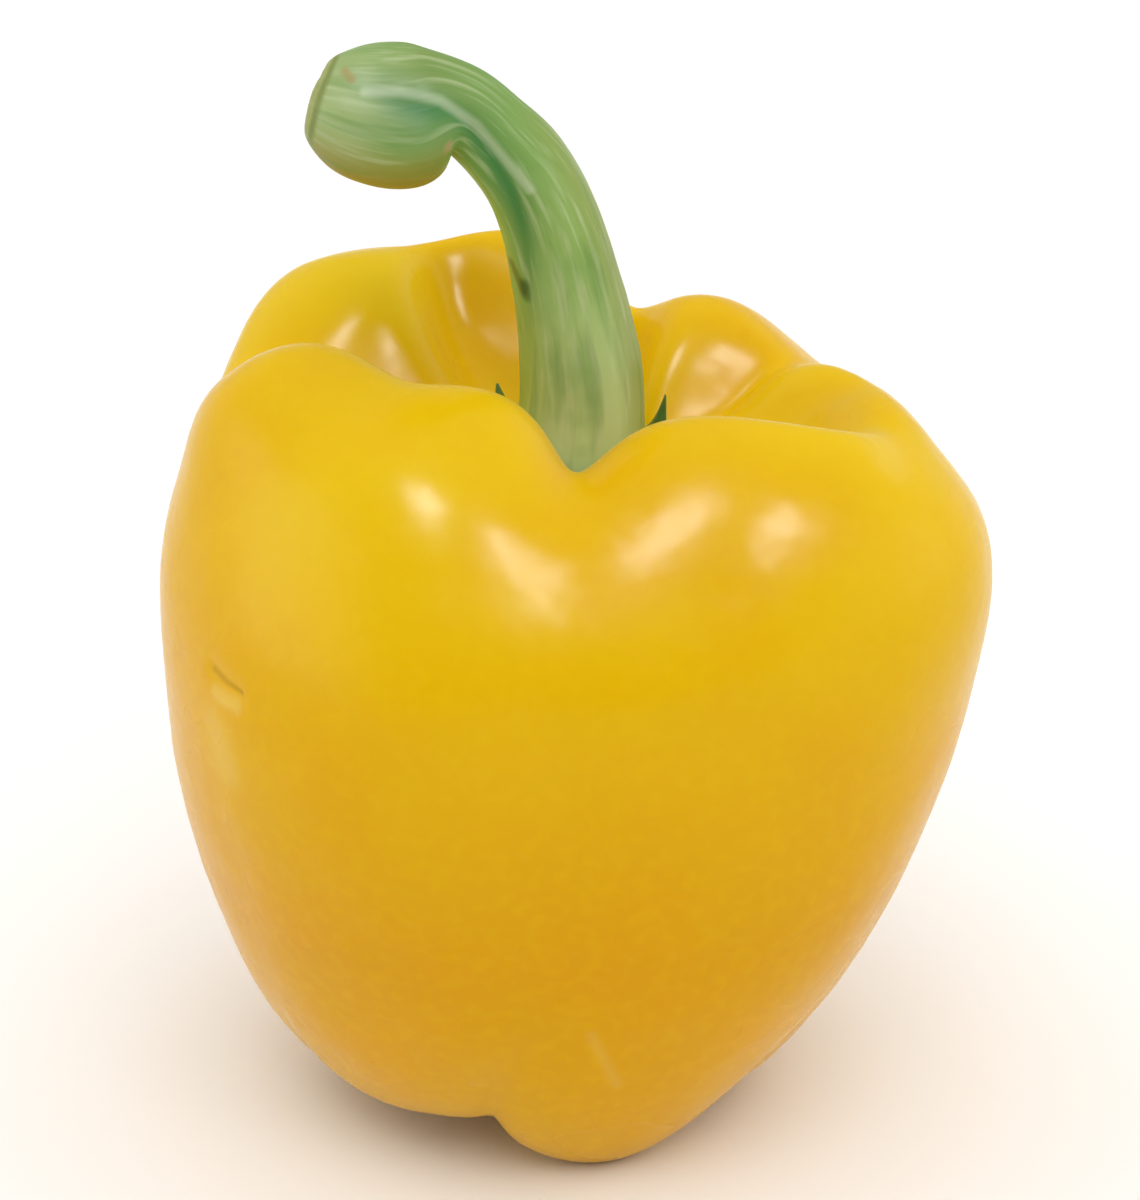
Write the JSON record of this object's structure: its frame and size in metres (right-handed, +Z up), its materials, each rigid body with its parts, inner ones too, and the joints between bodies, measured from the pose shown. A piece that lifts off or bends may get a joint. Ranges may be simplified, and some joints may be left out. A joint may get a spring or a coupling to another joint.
{
  "type": "bell pepper",
  "caption": "Whole glossy yellow bell pepper with rounded lobes, a hollow round the stem, and a bent green stem with its calyx.",
  "frame": {"origin": "under the middle of the whole pepper's box, on the surface that it stands on", "axes": "+Z up from the blossom end to the stem, -Y towards the front of the picture, +X to the right there"},
  "size_m": [0.0878, 0.0834, 0.122],
  "materials": {
    "fruit_skin": "glossy yellow pepper skin",
    "stem_green": "satin green stem and calyx"
  },
  "bodies": {
    "root": {"fruit": "fruit_skin", "stem": "stem_green"}
  },
  "joints": []
}
